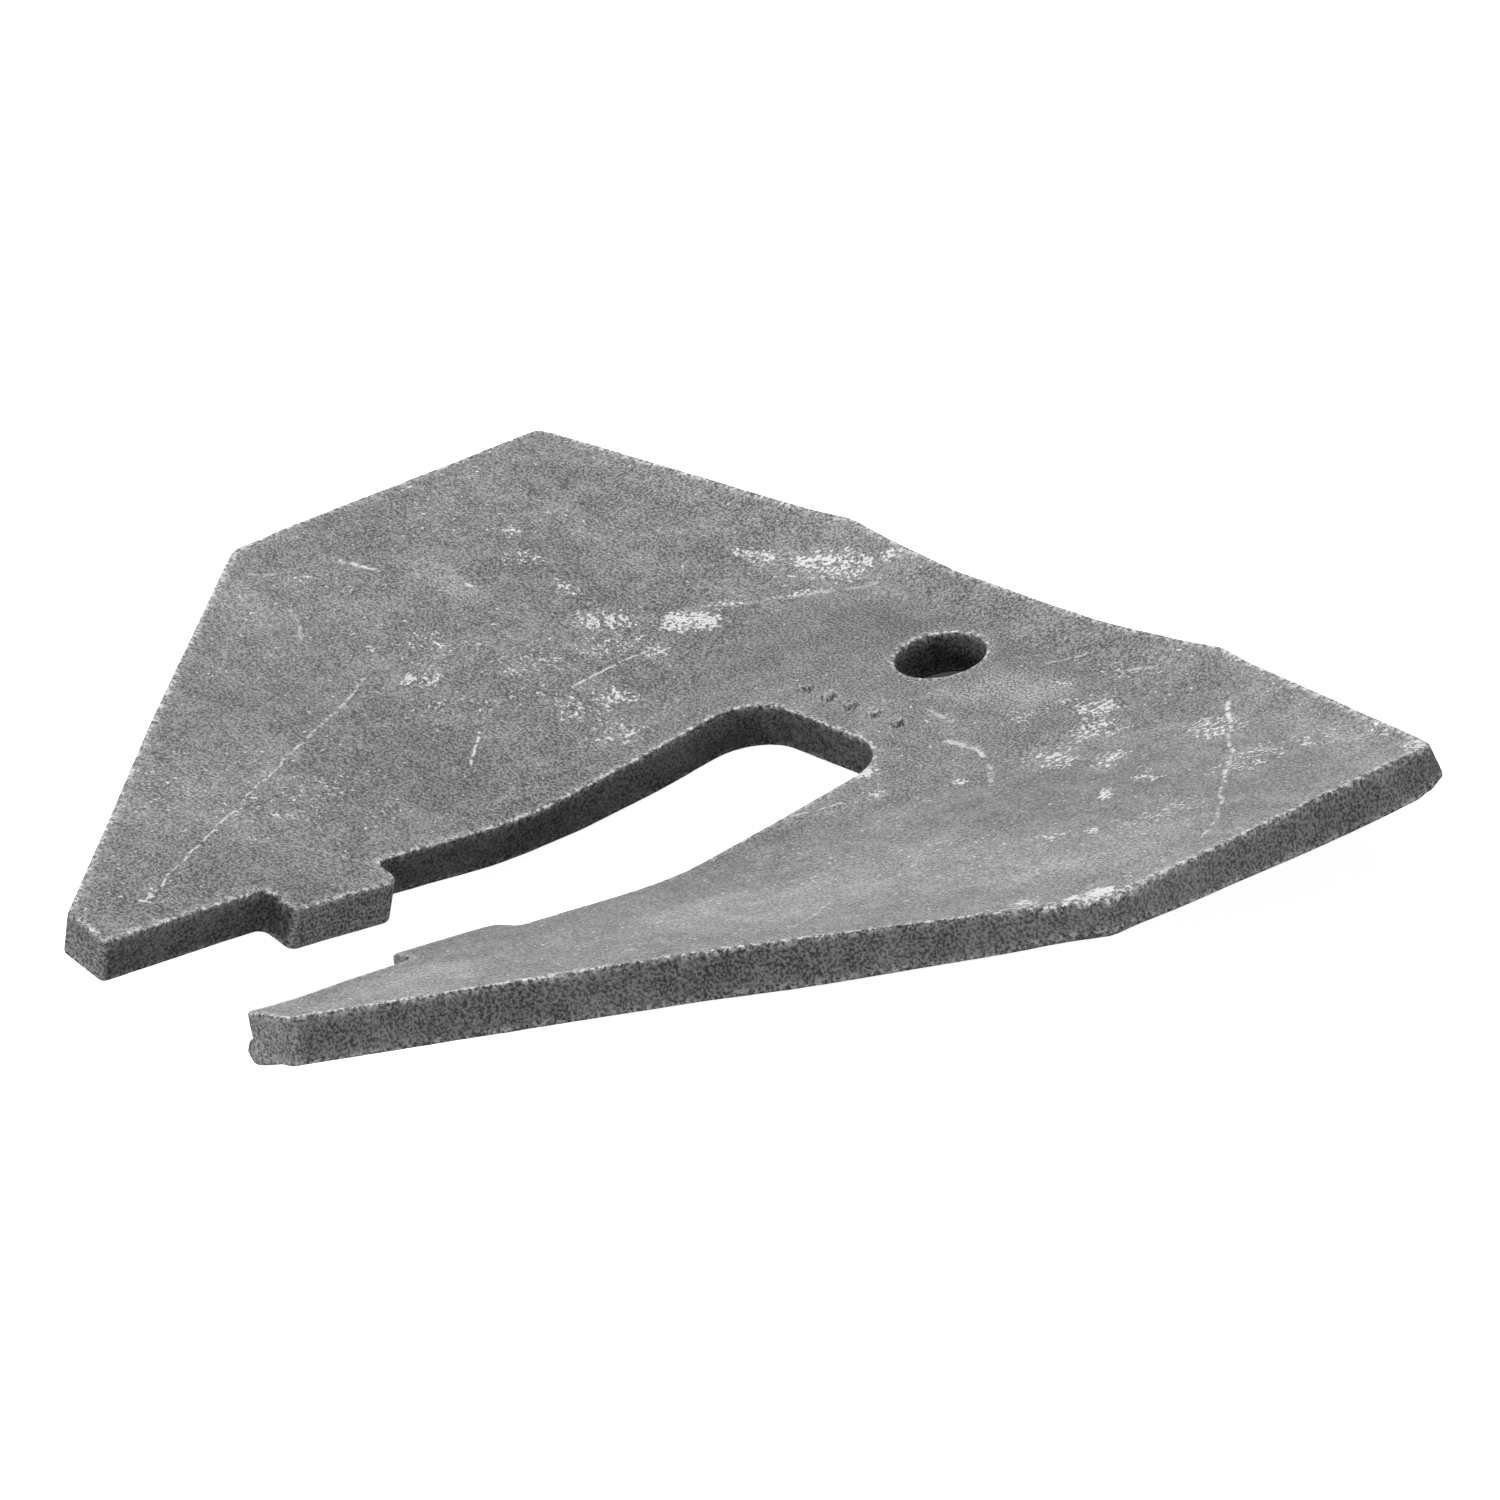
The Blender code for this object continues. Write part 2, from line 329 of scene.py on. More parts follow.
def fillPlan(loops, cell):
    # plan triangles inside the outline and round the hole; the loops' own points come first
    border = np.concatenate(loops)
    tree = kdtree.KDTree(len(border))
    for i, p in enumerate(border):
        tree.insert((p[0], p[1], 0), i)
    tree.balance()
    edges = []
    first = 0
    for loop in loops:
        edges += [(first + i, first + (i + 1) % len(loop)) for i in range(len(loop))]
        first += len(loop)
    rows = np.arange(tipY, blank["holeToBack"], cell * math.sqrt(0.75))
    columns = np.arange(-sideHalf, sideHalf, cell)
    inner = []
    for row, y in enumerate(rows):
        for x in columns + (row % 2) * cell / 2:
            if tree.find((x, y, 0))[2] > blank["borderGap"] * cell and not nearPip(x, y, cell):
                inner.append(Vector((x, y)))
    inner += pipRings()
    points = [Vector(p) for p in border] + inner
    outer = [list(range(len(loops[0])))]
    found = geometry.delaunay_2d_cdt(points, edges, outer, 1, 1e-9)
    places = np.array(found[0])
    cells = np.array(found[2])
    middles = places[cells].mean(axis=1)
    holeRadius = np.hypot(*loops[1].T).max()
    cells = cells[np.hypot(*middles.T) > holeRadius - 1e-5]     # none across the hole
    placeOf = {}
    for new, olds in enumerate(found[3]):
        for old in olds:
            placeOf[old] = new
    return places, cells, placeOf, tree


def thinnedAt(xy):
    fromCorner = np.hypot(np.abs(xy[:, 0]) - sideHalf, xy[:, 1] - blank["sideFront"])
    return 1 - blank["thinBy"] / blank["thickness"] * ease(1 - fromCorner / blank["thinReach"])


def makeBlank():
    # the flat blank as one closed mesh; its z is the depth under the plate's top surface
    thick = blank["thickness"]
    loops = plateLoops()
    outs = [outwardOf(loop) for loop in loops]
    radii = [arrisRadii(loop, seed) for seed, loop in enumerate(loops)]
    points, arris, faces = [], [], []
    total = 0
    rims = []
    for side in (0, 1):
        inset = [loop - out * radius[side][:, None] for loop, out, radius in zip(loops, outs, radii)]
        places, cells, placeOf, border = fillPlan(inset, (blank["topCell"], blank["underCell"])[side])
        depth = np.full(len(places), thick * side)
        points.append(np.column_stack([places, -depth * thinnedAt(places)]))
        away = np.array([border.find((x, y, 0))[2] for x, y in places])
        arris.append(np.exp(-away / blank["wearReach"]))
        faces.append((cells if side == 0 else cells[:, ::-1]) + total)
        starts = np.cumsum([0] + [len(loop) for loop in loops])
        rims.append([total + np.array([placeOf[s + i] for i in range(len(loop))])
                     for s, loop in zip(starts, loops)])
        total += len(places)
    quarter = [math.pi / 2 * i / blank["arrisTurns"] for i in range(1, blank["arrisTurns"] + 1)]
    for loop, out, radius, topRim, underRim in zip(loops, outs, radii, rims[0], rims[1]):
        top, under = radius
        full = np.ones(len(loop))
        bands = [(top * (1 - math.sin(t)), top * (1 - math.cos(t)), full) for t in quarter]
        for row in range(1, blank["wallRows"]):
            share = row / blank["wallRows"]
            depth = top + (thick - top - under) * share
            near = np.minimum(depth - top, thick - under - depth)
            bands.append((top * 0, depth, np.exp(-near / blank["wearReach"])))
        for t in reversed(quarter):
            bands.append((under * (1 - math.sin(t)), thick - under * (1 - math.cos(t)), full))
        ring = topRim
        for inset, depth, wear in bands:
            xy = loop - out * inset[:, None]
            points.append(np.column_stack([xy, -depth * thinnedAt(xy)]))
            arris.append(wear)
            lower = total + np.arange(len(loop))
            total += len(loop)
            faces += ringFaces(ring, lower)
            ring = lower
        faces += ringFaces(ring, underRim)
    return meshFrom("wingPlateBlank", *[np.concatenate(parts) for parts in (points, faces, arris)])


def ringFaces(upper, lower):
    nextUpper, nextLower = np.roll(upper, -1), np.roll(lower, -1)
    return [np.column_stack([nextUpper, upper, lower]), np.column_stack([nextUpper, lower, nextLower])]


def topSheet(points):
    return points[:, 2] > -blank["thickness"] / 2


def ovals(points, rows):
    # soft ovals painted on the blank's top, 1 in their middles; a negative strength takes away
    total = np.zeros(len(points))
    for centre, halfLength, halfWidth, turn, strength in rows:
        angle = math.radians(turn)
        dx, dy = points[:, 0] - centre[0], points[:, 1] - centre[1]
        u = (dx * math.cos(angle) + dy * math.sin(angle)) / halfLength
        v = (dy * math.cos(angle) - dx * math.sin(angle)) / halfWidth
        share = 1 - ease((u * u + v * v) / iron["markSpread"])
        total = np.maximum(total, strength * share) if strength > 0 else total + strength * share
    return total * topSheet(points)


def paintedWallLightShares(points):
    # painted light: the tips' ends, the tabs' ends and the bolt hole's wall are painted lighter than the
    # other walls
    b = blank
    x, y = np.abs(points[:, 0]), points[:, 1]
    fade = b["endFade"]

    def within(limit, value):
        return ease((limit + 2 * fade - value) / fade)

    tips = within(tipY, y)
    tabs = within(b["tabHalf"], x) * (y < b["tabBack"] - fade) * (y > b["tabFront"])
    insides = within(b["tipInnerHalf"], x) * (y < b["tabFront"])
    hole = within(b["holeAcross"] / 2, np.hypot(x, y))
    shares = (1.0, b["tabShare"], b["insideShare"], b["holeShare"])
    return np.maximum.reduce([wall * share for wall, share in zip((tips, tabs, insides, hole), shares)])


def wearOf(points, arris):
    # the arris, the lump of spare metal and the pips' rims are worn bright
    lumpMiddle = np.array(lump["wearFrom"]) + (0, tipY, 0)
    onLump = ease(lump["wearSpread"] - np.linalg.norm(points - lumpMiddle, axis=1) / lump["wearReach"])
    wear = np.maximum(arris, onLump)
    for x, y in pipMiddles():
        away = np.hypot(points[:, 0] - x, points[:, 1] - y) - pips["radius"] * pips["wearAt"]
        rim = pips["wear"] * np.exp(-np.abs(away) / pips["wearFade"])
        wear = np.maximum(wear, rim * topSheet(points))
    return wear


def meshFrom(name, points, faces, arris):
    used, index = np.unique(faces, return_inverse=True)
    faces = index.reshape(-1, 3)
    points = points[used]
    mesh = bpy.data.meshes.new(name)
    mesh.from_pydata(points.tolist(), [], faces.tolist())
    mesh.shade_smooth()
    # marks stored on the mesh: arris wear, powder scuffs, painted highlights and shade on the top, and
    # painted light on some walls
    marks = {"arris": wearOf(points, arris[used]), "scuff": ovals(points, scuffs),
             "paintedTopLight": ovals(points, paintedLightOvals), "paintedWallLight": paintedWallLightShares(points)}
    for label, values in marks.items():
        mesh.attributes.new(label, "FLOAT", "POINT").data.foreach_set("value", values.astype(np.float32))
    made = bpy.data.objects.new(name, mesh)
    bpy.context.scene.collection.objects.link(made)
    return made


# the dish as a rule: height over the floor at x across and y from the hole

dish = {
    "tipY": tipY,
    "frontY": blank["sideFront"],
    "sideBackY": blank["sideBack"],
    "backY": blank["holeToBack"],
    "tipHalf": blank["tipOuterHalf"],
    "sideHalf": sideHalf,
    "peakHalf": blank["peakHalf"],
    "slotHalf": blank["slotHalf"],
    "tipRim": 0.0195,          # heights of the plate's edge over the floor of the dish
    "crestY": -0.1000,
    "crestRim": 0.0200,
    "frontRim": 0.0187,
    "backRim": 0.0120,
    "prongBend": -0.0676,
    "prongSlope": 0.235,
    "prongEase": -0.1215,
    "prongEaseSlope": 0.045,
    "prongSoftness": 0.0105,
    "lipBend": 0.0106,
    "lipSlope": 0.30,
    "lipSoftness": 0.0025,
    "floorNarrowY": -0.0640,
    "floorWideY": -0.0030,
    "leastWing": 0.0004,
    "wingSoftness": 0.0060,
    "wingExtraSoftness": 0.2,
}
keelNames = ("prongBend", "prongSlope", "prongEase", "prongEaseSlope", "prongSoftness",
             "lipBend", "lipSlope", "lipSoftness")


def buildSoftRamp():
    # 0 below -softness, u above it, and a parabola between
    inputs = {"u": "Float", "softness": "Float"}
    tree, given, out = newTree("softRamp", "GeometryNodeTree", inputs, {"value": "Float"})
    u, softness = given["u"], given["softness"]
    low = calc(tree, "MULTIPLY", softness, -1.0)
    held = calc(tree, "MAXIMUM", calc(tree, "MINIMUM", u, softness), low)
    rise = calc(tree, "ADD", held, softness)
    curve = calc(tree, "DIVIDE", calc(tree, "MULTIPLY", rise, rise), calc(tree, "MULTIPLY", softness, 4.0))
    past = calc(tree, "MAXIMUM", calc(tree, "SUBTRACT", u, softness), 0.0)
    setSocket(tree, out["value"], calc(tree, "ADD", curve, past))
    return tree


def buildKeelHeight(softRamp):
    inputs = {"y": "Float", **{name: "Float" for name in keelNames}}
    tree, given, out = newTree("keelHeight", "GeometryNodeTree", inputs, {"height": "Float"})

    def bend(far, near, slope, softness):
        ramp = groupNode(tree, softRamp, u=calc(tree, "SUBTRACT", far, near), softness=softness)["value"]
        return calc(tree, "MULTIPLY", ramp, slope)

    prong = bend(given["prongBend"], given["y"], given["prongSlope"], given["prongSoftness"])
    eased = bend(given["prongEase"], given["y"], given["prongEaseSlope"], given["prongSoftness"])
    lip = bend(given["y"], given["lipBend"], given["lipSlope"], given["lipSoftness"])
    setSocket(tree, out["height"], calc(tree, "ADD", calc(tree, "SUBTRACT", prong, eased), lip))
    return tree


def buildDishHeight(softRamp, keelHeight):
    inputs = {"x": "Float", "y": "Float", **{name: "Float" for name in dish}}
    tree, given, out = newTree("dishHeight", "GeometryNodeTree", inputs, {"height": "Float"})
    last = calc(tree, "SUBTRACT", given["backY"], given["leastWing"])
    y = calc(tree, "MINIMUM", given["y"], last)
    keelSizes = {name: given[name] for name in keelNames}
    keel = groupNode(tree, keelHeight, y=y, **keelSizes)["height"]
    backKeel = groupNode(tree, keelHeight, y=given["backY"], **keelSizes)["height"]

    def alongEdge(*values):
        # straight lines between values at the tip, the crest, the front corner, the side's back and the peak
        stations = (given["tipY"], given["crestY"], given["frontY"], given["sideBackY"], given["backY"])
        total = values[0]
        for y0, y1, v0, v1 in zip(stations, stations[1:], values, values[1:]):
            step = remap(tree, y, y0, y1, 0.0, calc(tree, "SUBTRACT", v1, v0), "LINEAR")
            total = calc(tree, "ADD", total, step)
        return total

    rim = alongEdge(given["tipRim"], given["crestRim"], given["frontRim"], given["backRim"], backKeel)
    crestHalf = remap(tree, given["crestY"], given["tipY"], given["frontY"], given["tipHalf"],
                      given["sideHalf"], "LINEAR")
    sideHalfWidth = given["sideHalf"]
    plateHalf = alongEdge(given["tipHalf"], crestHalf, sideHalfWidth, sideHalfWidth, given["peakHalf"])
    widening = remap(tree, y, given["floorNarrowY"], given["floorWideY"])
    extra = calc(tree, "MULTIPLY", calc(tree, "SUBTRACT", given["peakHalf"], given["slotHalf"]), widening)
    floorHalf = calc(tree, "ADD", given["slotHalf"], extra)
    softness = calc(tree, "MULTIPLY_ADD", extra, given["wingExtraSoftness"], given["wingSoftness"])
    run = calc(tree, "SUBTRACT", plateHalf, floorHalf)
    slope = calc(tree, "DIVIDE", calc(tree, "SUBTRACT", rim, keel), run)
    prongStart = calc(tree, "SUBTRACT", given["frontY"], given["prongSoftness"])
    onProng = remap(tree, y, prongStart, given["frontY"], 1.0, 0.0)
    across = calc(tree, "SUBTRACT", calc(tree, "ABSOLUTE", given["x"]), floorHalf)
    wing = groupNode(tree, softRamp, u=across, softness=softness)["value"]
    inward = calc(tree, "MULTIPLY", across, -1.0)
    fall = groupNode(tree, softRamp, u=inward, softness=softness)["value"]
    tilt = calc(tree, "SUBTRACT", wing, calc(tree, "MULTIPLY", onProng, fall))
    setSocket(tree, out["height"], calc(tree, "MULTIPLY_ADD", slope, tilt, keel))
    return tree


def buildBendToDish(dishHeight):
    # lays each point of the flat blank on the dish, its depth measured square to the surface
    inputs = {"Geometry": "Geometry", "holeY": "Float", "seatZ": "Float"}
    inputs.update({name: "Float" for name in dish})
    tree, given, out = newTree("bendToDish", "GeometryNodeTree", inputs, {"Geometry": "Geometry"})
    blankPlace = addNode(tree, "GeometryNodeInputPosition").outputs[0]
    flat = addNode(tree, "ShaderNodeSeparateXYZ", {0: blankPlace}).outputs
    sizes = {name: given[name] for name in dish}
    nudge = 0.0002     # the slope is taken over twice this

    def heightAt(dx, dy):
        x = calc(tree, "ADD", flat["X"], dx)
        y = calc(tree, "ADD", flat["Y"], dy)
        return groupNode(tree, dishHeight, x=x, y=y, **sizes)["height"]

    def slopeOf(dx, dy):
        rise = calc(tree, "SUBTRACT", heightAt(-dx, -dy), heightAt(dx, dy))
        return calc(tree, "DIVIDE", rise, 2 * nudge)

    normal = vectorCalc(tree, "NORMALIZE", combined(tree, slopeOf(nudge, 0), slopeOf(0, nudge), 1.0))
    y = calc(tree, "ADD", flat["Y"], given["holeY"])
    z = calc(tree, "ADD", heightAt(0.0, 0.0), given["seatZ"])
    surface = combined(tree, flat["X"], y, z)
    position = vectorCalc(tree, "ADD", surface, scaled(tree, normal, flat["Z"]))
    moved = addNode(tree, "GeometryNodeSetPosition", {"Geometry": given["Geometry"], "Position": position})
    setSocket(tree, out["Geometry"], moved.outputs[0])
    return tree


# the cast skin: pips, a lump and the uneven surface that sand leaves

castSkin = {
    "swellSize": 0.028,
    "swellDepth": 0.00022,
    "peelSize": 0.0034,
    "peelDepth": 0.00007,
    "nickSize": 0.0022,        # nicks are cut in the arris only
    "nickDepth": 0.00009,
    "surfaceLevel": 0.72,      # noise below this level lies under the blank's surface
    "seed": 3.7,
}

# spare metal low on one tip: an egg that the skin is pushed out to
lump = {
    "place": (0.0190, -0.0822, 0.0181),
    "size": (0.0040, 0.0021, 0.0024),
    "wearFrom": (0.0156, 0.0010, -0.0056),     # x, y from the tip and depth on the blank
    "wearReach": 0.0030,
    "wearSpread": 1.5,         # full out to half the reach, gone at 1.5 of it
}


def buildCastSkin():
    inputs = {"Geometry": "Geometry", "pipStart": "Vector", "pipCount": "Int", "pipPitch": "Float",
              "pipRadius": "Float", "pipHeight": "Float", "pipFlatShare": "Float",
              "lumpPlace": "Vector", "lumpSize": "Vector", "material": "Material"}
    inputs.update({name: "Float" for name in castSkin})
    tree, given, out = newTree("castSkin", "GeometryNodeTree", inputs, {"Geometry": "Geometry"})
    position = addNode(tree, "GeometryNodeInputPosition").outputs[0]
    normal = addNode(tree, "GeometryNodeInputNormal").outputs[0]
    arris = addNode(tree, "GeometryNodeInputNamedAttribute", {"Name": "arris"}).outputs[0]

    def uneven(size, depth, shift):
        inputs = {"Vector": position, "W": calc(tree, "ADD", given["seed"], shift),
                  "Scale": calc(tree, "DIVIDE", 1.0, size), "Detail": 2.0}
        noise = addNode(tree, "ShaderNodeTexNoise", inputs, noise_dimensions="4D").outputs[0]
        return calc(tree, "MULTIPLY", calc(tree, "SUBTRACT", noise, given["surfaceLevel"]), depth)

    # pips: round rises with flat tops, at the points of a line
    pitch = combined(tree, given["pipPitch"], 0.0, 0.0)
    line = addNode(tree, "GeometryNodeMeshLine", {
        "Count": given["pipCount"], "Start Location": given["pipStart"], "Offset": pitch}).outputs[0]
    toPip = addNode(tree, "GeometryNodeProximity", {0: line}, target_element="POINTS").outputs["Distance"]
    flatTo = calc(tree, "MULTIPLY", given["pipRadius"], given["pipFlatShare"])
    rise = remap(tree, toPip, flatTo, given["pipRadius"], given["pipHeight"], 0.0)

    rise = calc(tree, "ADD", rise, uneven(given["swellSize"], given["swellDepth"], 0.0))
    rise = calc(tree, "ADD", rise, uneven(given["peelSize"], given["peelDepth"], 5.0))
    nick = uneven(given["nickSize"], given["nickDepth"], 9.0)
    rise = calc(tree, "MULTIPLY_ADD", nick, arris, rise)

    # whatever lies inside the lump's egg is pushed out from its middle to its shell
    fromLump = vectorCalc(tree, "SUBTRACT", position, given["lumpPlace"])
    share = vectorCalc(tree, "LENGTH", vectorCalc(tree, "DIVIDE", fromLump, given["lumpSize"]))
    push = calc(tree, "SUBTRACT", calc(tree, "DIVIDE", 1.0, calc(tree, "MINIMUM", share, 1.0)), 1.0)
    offset = vectorCalc(tree, "ADD", scaled(tree, normal, rise), scaled(tree, fromLump, push))

    moved = addNode(tree, "GeometryNodeSetPosition", {"Geometry": given["Geometry"], "Offset": offset})
    real = addNode(tree, "GeometryNodeRealizeInstances", {0: moved.outputs[0]})
    done = addNode(tree, "GeometryNodeSetMaterial", {
        "Geometry": real.outputs[0], "Material": given["material"]})
    setSocket(tree, out["Geometry"], done.outputs[0])
    return tree


def runTree(made, tree, values):
    modifier = made.modifiers.new(tree.name, "NODES")
    modifier.node_group = tree
    for item in tree.interface.items_tree:
        if item.in_out == "INPUT" and item.name in values:
            modifier[item.identifier] = values[item.name]


def finished(made, name):
    # the evaluated result as a plain mesh object, in place of the one with modifiers
    bpy.context.view_layer.update()
    graph = bpy.context.evaluated_depsgraph_get()
    mesh = bpy.data.meshes.new_from_object(made.evaluated_get(graph))
    bpy.data.objects.remove(made)
    mesh.name = name
    piece = bpy.data.objects.new(name, mesh)
    bpy.context.scene.collection.objects.link(piece)
    return piece


def makeWingPlate(material):
    made = makeBlank()
    softRamp = buildSoftRamp()
    dishHeight = buildDishHeight(softRamp, buildKeelHeight(softRamp))
    runTree(made, buildBendToDish(dishHeight), {"holeY": holeY, "seatZ": seatZ, **dish})
    firstPip = pipMiddles()[0]
    runTree(made, buildCastSkin(), {
        "pipStart": (firstPip[0], firstPip[1] + holeY, seatZ), "pipCount": pips["count"],
        "pipPitch": pips["pitch"], "pipRadius": pips["radius"], "pipHeight": pips["height"],
        "pipFlatShare": pips["flatShare"], "lumpPlace": lump["place"], "lumpSize": lump["size"],
        "material": material, **castSkin})
    return finished(made, "wing_plate_casting")


# the cast iron, bare and worn
iron = {
    "dark": 0.055,               # tones of the grain
    "light": 0.40,
    "bright": 0.70,              # tone of powder, scratches and worn edges
    "roughness": 0.46,
    "metallic": 0.30,
    "grainSize": 0.00042,
    "grainDepth": 0.00046,
    "grainWeight": 0.74,
    "grainRough": 0.12,          # pale grains are rougher by this
    "coarseTimes": 0.40,         # a coarser grain under the fine one: its scale and share
    "coarseShare": 0.32,
    "grainRise": 0.55,
    "speckleRange": (0.41, 0.59),
    "topRange": (0.3, 0.6),      # upward part of the normal where walls turn into the top
    "cloudSize": 0.030,          # slow changes of tone
    "cloudRange": (0.3, 0.7),
    "cloudWeight": 0.20,
    "mottleSize": 0.0050,        # quicker ones
    "mottleRange": (0.38, 0.66),
    "mottleWeight": 0.20,
    "toneShift": -0.13,
    "breakSize": 0.0011,         # gaps in the scratches
    "breakRange": (0.40, 0.58),
    "bendSize": 0.00625,
    "bendBy": 0.0011,            # how far the scratches wander from straight
    "clumpSize": 0.0030,         # scuffs are clumps of powder, and powder is single grains
    "clumpWeight": 1.6,
    "clumpShift": -0.84,
    "clumpFrom": 0.12,           # weaker scuffs than this are less clumped
    "powderSize": 0.00074,
    "powderRange": (0.665, 0.745),
    "powderWeight": 0.27,
    "straySize": 0.0009,         # grains of powder away from the scuffs
    "strayRange": (0.72, 0.80),
    "strayCloud": 0.10,
    "wornSize": 0.0008,
    "wornRange": (0.49, 0.58),
    "wornWeight": 0.95,
    "markSmooth": 0.10,
    "markSpread": 2.2,           # an oval mark ends at the square root of this, in half lengths
    "paintedWallLightLift": 0.782,        # share by which painted light makes those walls lighter
    # painted highlights and shade on the top: how far they lift the tone, and how much smoother the top is
    # there
    "paintedTopLightLift": 0.506,
    "paintedTopLightSmooth": 0.16,
}

# marks on the top, in metres: x across, y from the hole
scratches = [
    # from, to, half width, strength
    ((-0.0592, -0.0660), (-0.0480, -0.0868), 0.00030, 0.55),
    ((-0.0480, -0.0868), (-0.0319, -0.1174), 0.00022, 0.75),
    ((-0.0319, -0.1174), (-0.0235, -0.1331), 0.00020, 0.85),
    ((-0.0894, -0.0473), (-0.0830, -0.0441), 0.00050, 0.9),
    ((-0.0716, -0.0357), (-0.0701, -0.0349), 0.00040, 1.0),
    ((-0.0391, -0.0419), (-0.0410, -0.0229), 0.00026, 0.8),
    ((-0.0449, -0.0109), (-0.0269, 0.0114), 0.00045, 0.40),
    ((-0.0323, -0.0675), (-0.0379, -0.0612), 0.00028, 0.9),
    ((-0.0297, -0.1097), (-0.0165, -0.0984), 0.00024, 0.40),
    ((0.0175, -0.0470), (0.0218, -0.0405), 0.00030, 0.8),
    ((0.0657, -0.0855), (0.0584, -0.0721), 0.00030, 0.5),
    ((0.0540, 0.0098), (0.0588, 0.0053), 0.00045, 1.00),
    ((0.0588, 0.0053), (0.0708, -0.0060), 0.00034, 0.85),
    ((0.0708, -0.0060), (0.0793, -0.0155), 0.00034, 0.80),
    ((0.0793, -0.0155), (0.0909, -0.0277), 0.00030, 0.60),
    ((0.0909, -0.0277), (0.0959, -0.0354), 0.00030, 0.60),
    ((-0.1003, -0.0173), (-0.0976, -0.0167), 0.00020, 0.45),
    ((-0.0976, -0.0167), (-0.0935, -0.0088), 0.00020, 0.45),
    ((-0.0935, -0.0617), (-0.0902, -0.0551), 0.00025, 0.50),
    ((-0.0792, -0.0629), (-0.0729, -0.0669), 0.00035, 0.50),
    ((0.0170, 0.0074), (0.0205, 0.0114), 0.00030, 0.45),
    ((0.0105, 0.0051), (0.0140, 0.0081), 0.00030, 0.45),
    ((0.0122, -0.0135), (0.0173, -0.0140), 0.00050, 0.60),
    ((0.0212, -0.0187), (0.0267, -0.0176), 0.00060, 0.60),
    ((0.0267, -0.0176), (0.0332, -0.0202), 0.00060, 0.80),
    ((0.0332, -0.0202), (0.0387, -0.0255), 0.00050, 0.60),
    ((0.0292, 0.0107), (0.0333, 0.0132), 0.00030, 0.50),
    ((-0.0259, -0.1308), (-0.0228, -0.1328), 0.00040, 1.00),
    ((-0.0235, -0.1338), (-0.0220, -0.1319), 0.00042, 1.00),
    ((-0.0220, -0.1319), (-0.0204, -0.1317), 0.00025, 0.50),
]
scuffs = [
    # centre, half length, half width, turn in degrees, strength
    ((-0.0494, 0.0055), 0.0041, 0.0021, 23, 0.85),
    ((-0.0363, 0.0111), 0.0081, 0.0037, 20, 0.72),
    ((-0.0296, 0.0169), 0.0019, 0.0016, 48, 0.80),
    ((-0.0424, -0.0071), 0.0041, 0.0009, 49, 0.55),
    ((-0.0346, 0.0027), 0.0054, 0.0010, 47, 0.60),
    ((-0.0426, -0.0149), 0.0052, 0.0030, 44, 1.00),
    ((-0.0511, -0.0249), 0.0057, 0.0029, 61, 0.72),
    ((-0.0447, -0.0291), 0.0059, 0.0035, 73, 0.45),
    ((-0.0392, -0.0245), 0.0027, 0.0020, 98, 0.62),
    ((-0.0333, -0.0387), 0.0036, 0.0031, 87, 0.72),
    ((-0.0342, -0.0453), 0.0036, 0.0033, 87, 0.62),
    ((-0.0618, -0.0238), 0.0022, 0.0027, 55, 0.50),
    ((-0.0729, -0.0235), 0.0028, 0.0027, 55, 0.55),
    ((-0.0801, -0.0190), 0.0012, 0.0010, 4, 0.90),
    ((-0.0622, -0.0244), 0.0012, 0.0015, 55, 0.70),
    ((-0.0620, -0.0512), 0.0034, 0.0028, 35, 0.50),
    ((-0.0543, -0.0588), 0.0032, 0.0022, 71, 0.62),
    ((-0.0656, -0.0595), 0.0006, 0.0012, 57, 0.95),
    ((-0.0471, -0.0414), 0.0064, 0.0025, 70, 0.42),
    ((-0.0446, -0.0555), 0.0096, 0.0031, 71, 0.36),
    ((-0.0356, -0.0967), 0.0130, 0.0044, 95, 0.30),
    ((-0.0244, -0.0451), 0.0048, 0.0028, 73, 0.50),
    ((-0.0876, -0.0551), 0.0022, 0.0015, 44, 0.50),
    ((0.0169, -0.0319), 0.0024, 0.0022, 62, 0.92),
    ((0.0239, -0.0355), 0.0018, 0.0017, 62, 0.70),
    ((0.0331, -0.0266), 0.0011, 0.0013, 95, 1.00),
    ((0.0343, 0.0011), 0.0029, 0.0040, 72, 0.75),
    ((0.0399, -0.0041), 0.0045, 0.0030, 54, 0.66),
    ((0.0408, -0.0144), 0.0037, 0.0051, 84, 0.62),
    ((0.0509, -0.0120), 0.0024, 0.0041, 38, 0.72),
    ((0.0632, -0.0244), 0.0012, 0.0022, 43, 0.95),
    ((0.0640, -0.0172), 0.0037, 0.0017, 11, 0.62),
    ((0.0593, 0.0021), 0.0039, 0.0054, 65, 0.55),
    ((0.0763, -0.0074), 0.0059, 0.0044, 95, 0.42),
    ((0.0807, 0.0018), 0.0038, 0.0041, 69, 0.50),
    ((0.0892, 0.0058), 0.0035, 0.0032, 42, 0.55),
    ((0.0992, 0.0037), 0.0023, 0.0025, 14, 0.75),
    ((0.0234, 0.0040), 0.0022, 0.0013, 62, 0.70),
    ((0.0281, -0.0004), 0.0015, 0.0010, 62, 0.80),
    ((0.0811, -0.0246), 0.0031, 0.0031, 57, 0.50),
    ((0.0752, -0.0376), 0.0009, 0.0016, 44, 1.00),
    ((0.0700, -0.0422), 0.0032, 0.0031, 62, 0.45),
    ((0.0795, -0.0323), 0.0073, 0.0033, 91, 0.36),
    ((0.0982, -0.0572), 0.0023, 0.0021, 36, 1.00),
    ((0.0960, -0.0603), 0.0011, 0.0018, 46, 1.00),
    ((0.0911, -0.0648), 0.0023, 0.0017, 29, 0.90),
    ((0.0263, -0.0061), 0.0045, 0.0026, 51, 0.40),
    ((0.0294, 0.0105), 0.0034, 0.0013, 42, 0.50),
]
